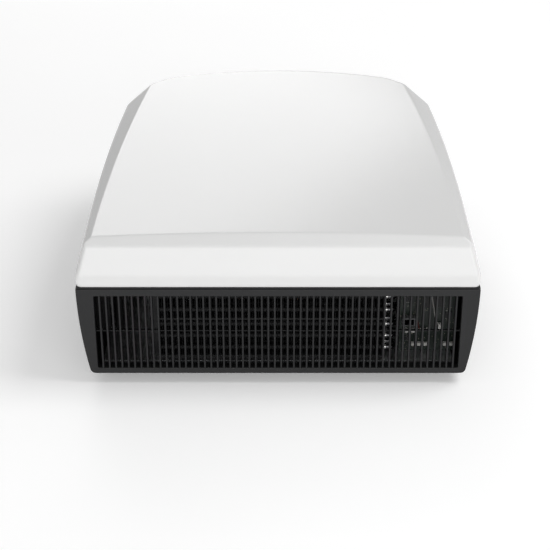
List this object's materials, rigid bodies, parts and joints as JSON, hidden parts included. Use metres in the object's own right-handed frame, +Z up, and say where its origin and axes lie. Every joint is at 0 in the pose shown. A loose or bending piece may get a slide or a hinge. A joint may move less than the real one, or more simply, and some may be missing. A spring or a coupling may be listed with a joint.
{
  "type": "home cinema projector",
  "caption": "Low home cinema laser projector: white domed cover over a dark vented case, wide rear vent, shifting lens, side keys, sockets and screw feet.",
  "frame": {"origin": "on the floor plane under the middle of the overall box", "axes": "+Z up, +Y the way the lens looks, rear vent face towards -Y, keys on the -X side and sockets on the +X side"},
  "size_m": [0.46, 0.52, 0.195],
  "materials": {
    "cover_plastic": "fine satin texture, white",
    "case_plastic": "fine matt texture, near black",
    "grille_plastic": "fine matt texture, charcoal",
    "black_plastic": "matt black",
    "key_plastic": "satin dark grey",
    "board": "solder mask green",
    "ir_plastic": "dark red, polished",
    "filter_mesh": "open grey mesh in a frame",
    "steel": "zinc plated",
    "brass": "turned",
    "fin_metal": "mill finish",
    "tube_metal": "plated bright",
    "black_metal": "matt black",
    "fan_plastic": "matt black",
    "cast_metal": "die cast",
    "copper": "copper, milled",
    "wheel_metal": "phosphor coated",
    "glass": "polished",
    "lens_glass": "coated, violet",
    "ring_plastic": "moulded",
    "rubber": "matt",
    "foot_plastic": "ribbed",
    "socket_metal": "tin plated"
  },
  "bodies": {
    "case": {"top_cover": "cover_plastic", "bottom_case": "case_plastic", "front_panel": "case_plastic", "rear_grille": "grille_plastic", "lens_surround": "black_plastic", "io_panel": "black_plastic", "control_panel": "black_plastic", "keypad_board": "board", "ir_window": "ir_plastic", "air_filter": "filter_mesh", "case_screws": "steel", "mount_inserts": "brass", "chassis_plate": "steel", "radiator_fins": "fin_metal", "radiator_tubes": "tube_metal", "radiator_frame": "black_metal", "fan_frames": "fan_plastic", "driver_board": "board", "laser_module": "cast_metal", "cold_plate": "copper", "coolant_pipes": "copper", "light_engine": "cast_metal", "prism_block": "glass", "display_panels": "black_metal", "lens_mount": "cast_metal", "guide_rods_vertical": "steel", "rear_feet": "rubber", "ac_inlet": "black_plastic", "sockets": "socket_metal", "main_board": "board"},
    "foot_left": {"foot_left_pad": "rubber"},
    "foot_left_knob": {"foot_left_screw": "foot_plastic"},
    "foot_right": {"foot_right_pad": "rubber"},
    "foot_right_knob": {"foot_right_screw": "foot_plastic"},
    "filter_door": {"filter_door": "case_plastic"},
    "fan_left": {"fan_left_rotor": "fan_plastic"},
    "fan_right": {"fan_right_rotor": "fan_plastic"},
    "phosphor_wheel": {"phosphor_wheel": "wheel_metal"},
    "lens_vertical": {"vertical_carriage": "cast_metal", "guide_rods_horizontal": "steel"},
    "lens_horizontal": {"horizontal_carriage": "cast_metal", "lens_barrel": "black_metal", "rear_lens": "glass", "dust_shield": "black_plastic", "lens_motors": "black_plastic"},
    "zoom_ring": {"zoom_ring": "ring_plastic"},
    "zoom_pinion": {"zoom_pinion": "ring_plastic"},
    "focus_ring": {"focus_ring": "ring_plastic"},
    "focus_pinion": {"focus_pinion": "ring_plastic"},
    "front_cell": {"front_lens_cell": "black_metal", "front_lens": "lens_glass"},
    "up_key": {"up_key": "key_plastic"},
    "down_key": {"down_key": "key_plastic"},
    "left_key": {"left_key": "key_plastic"},
    "right_key": {"right_key": "key_plastic"},
    "enter_key": {"enter_key": "key_plastic"},
    "power_key": {"power_key": "key_plastic"},
    "source_key": {"source_key": "key_plastic"},
    "menu_key": {"menu_key": "key_plastic"},
    "back_key": {"back_key": "key_plastic"}
  },
  "joints": [
    {"name": "lens_shift_vertical", "type": "slide", "parent": "case", "child": "lens_vertical", "axis": [0, 0, 1], "range_m": [-0.008, 0.008]},
    {"name": "lens_shift_horizontal", "type": "slide", "parent": "lens_vertical", "child": "lens_horizontal", "axis": [1, 0, 0], "range_m": [-0.005, 0.005]},
    {"name": "zoom_ring_turn", "type": "hinge", "parent": "lens_horizontal", "child": "zoom_ring", "pos_m": [0, 0.1825, 0.105], "axis": [0, 1, 0], "range_deg": [-35, 35]},
    {"name": "zoom_pinion_turn", "type": "hinge", "parent": "lens_horizontal", "child": "zoom_pinion", "pos_m": [0.03097, 0.1825, 0.14923], "axis": [0, 1, 0], "range_deg": [-176, 176]},
    {"name": "focus_ring_turn", "type": "hinge", "parent": "lens_horizontal", "child": "focus_ring", "pos_m": [0, 0.2125, 0.105], "axis": [0, 1, 0], "range_deg": [0, 90]},
    {"name": "focus_pinion_turn", "type": "hinge", "parent": "lens_horizontal", "child": "focus_pinion", "pos_m": [-0.03097, 0.2125, 0.14923], "axis": [0, 1, 0], "range_deg": [-451, 0.5]},
    {"name": "focus_cell_slide", "type": "slide", "parent": "lens_horizontal", "child": "front_cell", "axis": [0, 1, 0], "range_m": [0, 0.00301]},
    {"name": "phosphor_wheel_spin", "type": "hinge", "parent": "case", "child": "phosphor_wheel", "pos_m": [-0.055, -0.0499, 0.0681], "axis": [0, 1, 0], "continuous": true},
    {"name": "fan_left_spin", "type": "hinge", "parent": "case", "child": "fan_left", "pos_m": [-0.07487, -0.19, 0.07125], "axis": [0, 1, 0], "continuous": true},
    {"name": "fan_right_spin", "type": "hinge", "parent": "case", "child": "fan_right", "pos_m": [0.05738, -0.19, 0.07125], "axis": [0, 1, 0], "continuous": true},
    {"name": "filter_door_swing", "type": "hinge", "parent": "case", "child": "filter_door", "pos_m": [-0.22077, -0.12, 0.0374], "axis": [0, -1, 0], "range_deg": [0, 75]},
    {"name": "foot_left_height", "type": "slide", "parent": "case", "child": "foot_left", "axis": [0, 0, -1], "range_m": [0, 0.012]},
    {"name": "foot_left_turn", "type": "hinge", "parent": "foot_left", "child": "foot_left_knob", "pos_m": [-0.16, 0.12, 0.008], "axis": [0, 0, -1], "range_deg": [0, 2881]},
    {"name": "foot_right_height", "type": "slide", "parent": "case", "child": "foot_right", "axis": [0, 0, -1], "range_m": [0, 0.012]},
    {"name": "foot_right_turn", "type": "hinge", "parent": "foot_right", "child": "foot_right_knob", "pos_m": [0.16, 0.12, 0.008], "axis": [0, 0, -1], "range_deg": [0, 2881]},
    {"name": "up_key_press", "type": "slide", "parent": "case", "child": "up_key", "axis": [1, 0, 0], "range_m": [0, 0.001], "stiffness_N_per_m": 400},
    {"name": "down_key_press", "type": "slide", "parent": "case", "child": "down_key", "axis": [1, 0, 0], "range_m": [0, 0.001], "stiffness_N_per_m": 400},
    {"name": "left_key_press", "type": "slide", "parent": "case", "child": "left_key", "axis": [1, 0, 0], "range_m": [0, 0.001], "stiffness_N_per_m": 400},
    {"name": "right_key_press", "type": "slide", "parent": "case", "child": "right_key", "axis": [1, 0, 0], "range_m": [0, 0.001], "stiffness_N_per_m": 400},
    {"name": "enter_key_press", "type": "slide", "parent": "case", "child": "enter_key", "axis": [1, 0, 0], "range_m": [0, 0.001], "stiffness_N_per_m": 400},
    {"name": "power_key_press", "type": "slide", "parent": "case", "child": "power_key", "axis": [1, 0, 0], "range_m": [0, 0.001], "stiffness_N_per_m": 400},
    {"name": "source_key_press", "type": "slide", "parent": "case", "child": "source_key", "axis": [1, 0, 0], "range_m": [0, 0.001], "stiffness_N_per_m": 400},
    {"name": "menu_key_press", "type": "slide", "parent": "case", "child": "menu_key", "axis": [1, 0, 0], "range_m": [0, 0.001], "stiffness_N_per_m": 400},
    {"name": "back_key_press", "type": "slide", "parent": "case", "child": "back_key", "axis": [1, 0, 0], "range_m": [0, 0.001], "stiffness_N_per_m": 400}
  ],
  "couplings": [
    {"joint": "zoom_pinion_turn", "follows": "zoom_ring_turn", "ratio": -5},
    {"joint": "focus_pinion_turn", "follows": "focus_ring_turn", "ratio": -5},
    {"joint": "focus_cell_slide", "follows": "focus_ring_turn", "m_per_rad": 0.0019099},
    {"joint": "foot_left_turn", "follows": "foot_left_height", "rad_per_m": 4188.8},
    {"joint": "foot_right_turn", "follows": "foot_right_height", "rad_per_m": 4188.8}
  ]
}
